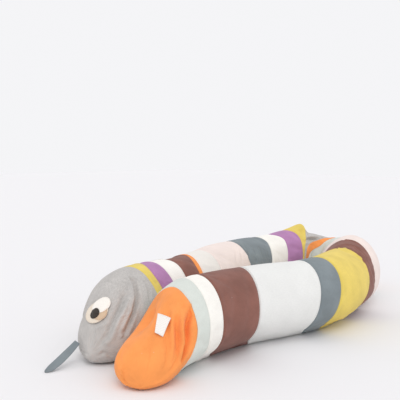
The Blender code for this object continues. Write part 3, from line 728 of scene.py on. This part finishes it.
def lay_of(piece_name, along, angle, reach):
    """a smooth bed for a patch: its frame and the heights of the cloth below it"""
    bm = bmesh.new()
    bm.from_mesh(pieces[piece_name].data)
    tree = BVHTree.FromBMesh(bm)
    bm.free()
    here = Vector(sleeve_points(along, angle).tolist())
    on = Vector(sleeve_points(along + 0.002, angle).tolist()) - Vector(sleeve_points(along - 0.002, angle).tolist())
    up = Vector(sleeve_points(along, angle + 0.02).tolist()) - Vector(sleeve_points(along, angle - 0.02).tolist())
    on.normalize()
    normal = on.cross(up).normalized()
    middle = Vector((float(np.interp(along, ARC, ROWS[:, 0])), float(np.interp(along, ARC, ROWS[:, 1])), 0.06))
    if normal.dot(here - middle) < 0:
        normal.negate()
    across = normal.cross(on).normalized()
    tests = [(u, v) for u in np.linspace(-reach, reach, 15) for v in np.linspace(-reach, reach, 15)
             if math.hypot(u, v) <= reach * 1.02]
    rows, heights = [], []
    for u, v in tests:
        hit = tree.ray_cast(here + on * u + across * v + normal * 0.06, -normal)[0]
        if hit:
            rows.append((1, u, v, u * u, u * v, v * v, u ** 3, u * u * v, u * v * v, v ** 3))
            heights.append((hit - here).dot(normal))
    shape, *_ = np.linalg.lstsq(np.array(rows), np.array(heights), rcond=None)
    proud = float(np.max(np.array(heights) - np.array(rows) @ shape))

    def bed(u, v, lift):
        terms = (1, u, v, u * u, u * v, v * v, u ** 3, u * u * v, u * v * v, v ** 3)
        return here + on * u + across * v + normal * (float(np.dot(terms, shape)) + proud + lift)
    return bed


def stitch(bm, bed, u, v, turn, lift, length=0.0022):
    """one small running stitch, flat on the felt"""
    made = bmesh.ops.create_icosphere(bm, subdivisions=1, radius=0.5)["verts"]
    for x in made:
        du, dv = x.co.x * length, x.co.y * 0.0007
        x.co = bed(u + du * math.cos(turn) - dv * math.sin(turn), v + du * math.sin(turn) + dv * math.cos(turn),
                   lift + x.co.z * 0.0006)
    for face in {f for x in made for f in x.link_faces}:
        face.material_index = 1
        face.smooth = True


FELT_THICKNESS, FELT_GAP, FELT_DROOP, FELT_RINGS = 0.0010, 0.0003, 0.0045, 10
# columns: name, colour of the felt, of its thread, centre along and round the head, radius
FELTS = [
    # The socket felt's cream colour is a painted highlight: it stands for strong light washing out the left of a peach
    # felt, and the peach lid felt carries that felt's own colour.
    ("socket", "#e9dccb", "#cdb8a0", 0.0020, 0.004, 0.0275),
    ("lid", "#d6bb9e", "#b99b7d", -0.0024, -0.008, 0.0160),
    ("white", "#f8f2ea", "#e2d8cc", 0.0180, -0.002, 0.0215),
    ("pupil", "#3d3630", "#211d1a", -0.0045, 0.004, 0.0118),
]
# columns: side, place along the head, angle round it, way that the other felts are set off the socket
for side, eye_along, eye_angle, way in (("near", 0.031, 91.0, 1), ("far", 0.068, -36.0, -1)):
    bed = lay_of("head_grey", eye_along, math.radians(eye_angle), 0.037)
    below = []
    for name, hex_colour, thread_colour, centre_on, centre_up, radius in FELTS:

        def on_eye(u, v, lift):
            """a point above the felts that lie below this place"""
            for x, y, reach in below:
                share = min(max((reach + FELT_DROOP - math.hypot(u - x, v - y)) / FELT_DROOP, 0.0), 1.0)
                lift += (FELT_THICKNESS + FELT_GAP) * share * share * (3 - 2 * share)
            return bed(u, v, lift)

        bm = bmesh.new()
        bmesh.ops.create_circle(bm, segments=72, radius=radius, cap_ends=True)
        for _ring in range(FELT_RINGS):
            cap = max(bm.faces, key=lambda f: len(f.verts))
            bmesh.ops.inset_individual(bm, faces=[cap], thickness=radius / (FELT_RINGS + 1.5), use_even_offset=True)
        top = bmesh.ops.extrude_face_region(bm, geom=list(bm.faces))["geom"]
        raised = {g for g in top if isinstance(g, bmesh.types.BMVert)}
        for v in bm.verts:
            wobble = 1 + 0.008 * noise.noise((v.co.x * 260, v.co.y * 260, radius * 900))
            v.co = on_eye(centre_on + v.co.x * wobble, centre_up * way + v.co.y * wobble,
                          0.0004 + (FELT_THICKNESS if v in raised else 0.0))
        rim = [e for e in bm.edges if len(e.link_faces) == 2 and (
            (e.verts[0] in raised) == (e.verts[1] in raised)) and e.calc_face_angle(0) > 1.0]
        bmesh.ops.bevel(bm, geom=rim, offset=0.00035, segments=2, profile=0.5, affect="EDGES", material=-1)
        bmesh.ops.recalc_face_normals(bm, faces=bm.faces)
        for face in bm.faces:
            face.smooth = True
        inset = radius - 0.0017
        count = round(2 * math.pi * inset / 0.0040)
        for k in range(count):
            around = 2 * math.pi * k / count
            stitch(bm, on_eye, centre_on + inset * math.cos(around), centre_up * way + inset * math.sin(around),
                   around + math.pi / 2, 0.0004 + FELT_THICKNESS)
        mesh = bpy.data.meshes.new("eye_" + side + "_" + name + "_felt")
        bm.to_mesh(mesh)
        bm.free()
        mesh.materials.append(felt(side + "_" + name, hex_colour))
        mesh.materials.append(thread(side + "_" + name, thread_colour))
        piece = bpy.data.objects.new(mesh.name, mesh)
        bpy.context.scene.collection.objects.link(piece)
        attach(piece, "root")
        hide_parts("eye_" + side + "_" + name)
        below.append((centre_on, centre_up * way, radius))

# The label: a small piece of white cotton tape, 27 by 46 mm, its ends turned under, sewn flat on the
# slack end along its two short sides. It is bare.
tape = bpy.data.materials.new("white_cotton_tape")
tape.use_nodes = True
tree = tape.node_tree
tree.nodes["Principled BSDF"].inputs["Roughness"].default_value = 0.8
place = node(tree, "TexCoord")
weave = node(tree, "TexChecker", {"Scale": 700.0, "Color1": linear("#f6f1ec"), "Color2": linear("#e9e2db")},
             Vector=place.outputs["Object"])
tree.links.new(weave.outputs["Color"], tree.nodes["Principled BSDF"].inputs["Base Color"])
woven = node(tree, "Bump", {"Strength": 0.3, "Distance": 0.0003}, Height=weave.outputs["Fac"])
tree.links.new(woven.outputs["Normal"], tree.nodes["Principled BSDF"].inputs["Normal"])
LABEL_WIDTH, LABEL_LENGTH, LABEL_TURN = 0.0245, 0.046, math.radians(-79)
LABEL_TAPER, LABEL_SKEW = -0.26, -0.38    # its lower end is gathered and it is sewn on askew
bed = lay_of("tail_orange", LENGTH - 0.080, math.radians(74), 0.028)
bm = bmesh.new()
bmesh.ops.create_grid(bm, x_segments=16, y_segments=26, size=0.5)
turned = bmesh.ops.extrude_face_region(bm, geom=list(bm.faces))["geom"]
raised = {g for g in turned if isinstance(g, bmesh.types.BMVert)}
for v in bm.verts:
    a, b = v.co.x * LABEL_WIDTH * (1 + 2 * LABEL_TAPER * v.co.y), v.co.y * LABEL_LENGTH
    b += LABEL_SKEW * a
    hem = 0.00035 if abs(v.co.y) > 0.42 else 0.0
    curl = 0.0022 * max(0.0, abs(v.co.x) - 0.30) * max(0.0, 1 - abs(v.co.y) * 1.6) * 4
    u = a * math.cos(LABEL_TURN) - b * math.sin(LABEL_TURN)
    w = a * math.sin(LABEL_TURN) + b * math.cos(LABEL_TURN)
    v.co = bed(u, w, 0.0004 + curl + (0.0005 + hem if v in raised else 0.0))
bmesh.ops.recalc_face_normals(bm, faces=bm.faces)
for face in bm.faces:
    face.smooth = True
for end in (-1, 1):
    for k in range(9):
        a, b = (k - 4) * 0.0027 * (1 + LABEL_TAPER * end), end * (LABEL_LENGTH / 2 - 0.0022)
        b += LABEL_SKEW * a
        stitch(bm, bed, a * math.cos(LABEL_TURN) - b * math.sin(LABEL_TURN),
               a * math.sin(LABEL_TURN) + b * math.cos(LABEL_TURN), LABEL_TURN, 0.00125, length=0.0018)
mesh = bpy.data.meshes.new("label_tape")
bm.to_mesh(mesh)
bm.free()
mesh.materials.append(tape)
mesh.materials.append(thread("label", "#e3dcd4"))
label = bpy.data.objects.new("label_tape", mesh)
bpy.context.scene.collection.objects.link(label)
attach(label, "root")
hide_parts("label_blank")

# The tongue: a strip of slate jersey, sewn double and turned out, so that its edges are round and its
# middle is flat. It comes out of the mouth and its tip lies on the floor.
TONGUE_WIDTH, TONGUE_THICKNESS, TONGUE_REACH, TONGUE_SINK = 0.020, 0.0026, 0.0765, 1.3
TONGUE_ROLL = math.radians(-24)
forward = Vector((math.cos(math.radians(175)), math.sin(math.radians(175)), 0))
root = Vector(sleeve_points(0.0095, math.radians(10)).tolist()) + forward * 0.0026
drop = root.z - TONGUE_THICKNESS / 2 - TONGUE_WIDTH / 2 * 0.1 * math.sin(abs(TONGUE_ROLL))
bm = bmesh.new()
column = bm.verts.layers.int.new("column")
ring = bmesh.ops.create_circle(bm, segments=24, radius=1.0)["verts"]
section = [v.co.copy() for v in ring]
for k, v in enumerate(ring):
    v[column] = k
edges = list(bm.edges)
for t in [0.0, 0.03, 0.07, *np.linspace(0.11, 0.94, 26), 0.965, 0.985, 0.996]:
    if t:
        grown = bmesh.ops.extrude_edge_only(bm, edges=edges)["geom"]
        ring = [g for g in grown if isinstance(g, bmesh.types.BMVert)]
        fresh = set(ring)
        edges = [g for g in grown if isinstance(g, bmesh.types.BMEdge) and fresh.issuperset(g.verts)]
    half = TONGUE_WIDTH / 2 * (0.74 + 0.26 * math.sin(math.pi * t))
    if t > 0.75:
        half *= math.sqrt(max(1 - ((t - 0.75) / 0.25) ** 2, 0.01))
    centre = root + forward * TONGUE_REACH * t
    centre.z = max(root.z - drop * (1 - (1 - t) ** TONGUE_SINK),
                   TONGUE_THICKNESS / 2 + half * math.sin(abs(TONGUE_ROLL)))
    slope = drop * TONGUE_SINK * (1 - t) ** (TONGUE_SINK - 1) / TONGUE_REACH
    up = (Vector((0, 0, 1)) + forward * slope).normalized()
    way = (forward - Vector((0, 0, 1)) * slope).normalized()
    turned = Matrix.Rotation(TONGUE_ROLL, 3, way)
    sideways, rise = turned @ way.cross(up), turned @ up
    for v in ring:
        flat = section[v[column]]
        waist = 0.72 + 0.28 * abs(flat.x) ** 1.5
        thick = math.copysign(abs(flat.y) ** 0.6, flat.y) * TONGUE_THICKNESS / 2 * waist
        v.co = centre + sideways * (flat.x * half) + rise * thick
bmesh.ops.holes_fill(bm, edges=[e for e in bm.edges if e.is_boundary], sides=0)
bmesh.ops.recalc_face_normals(bm, faces=bm.faces)
uv = bm.loops.layers.uv.new("cloth")
for face in bm.faces:
    face.smooth = True
    for loop in face.loops:
        away = loop.vert.co - root
        loop[uv].uv = (away.dot(way.cross(Vector((0, 0, 1)))), away.length)
mesh = bpy.data.meshes.new("tongue_strip")
bm.to_mesh(mesh)
bm.free()
mesh.materials.append(CLOTHS["cloth_slate"])
tongue = bpy.data.objects.new("tongue_strip", mesh)
bpy.context.scene.collection.objects.link(tongue)
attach(tongue, "root")
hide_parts("tongue_slate")
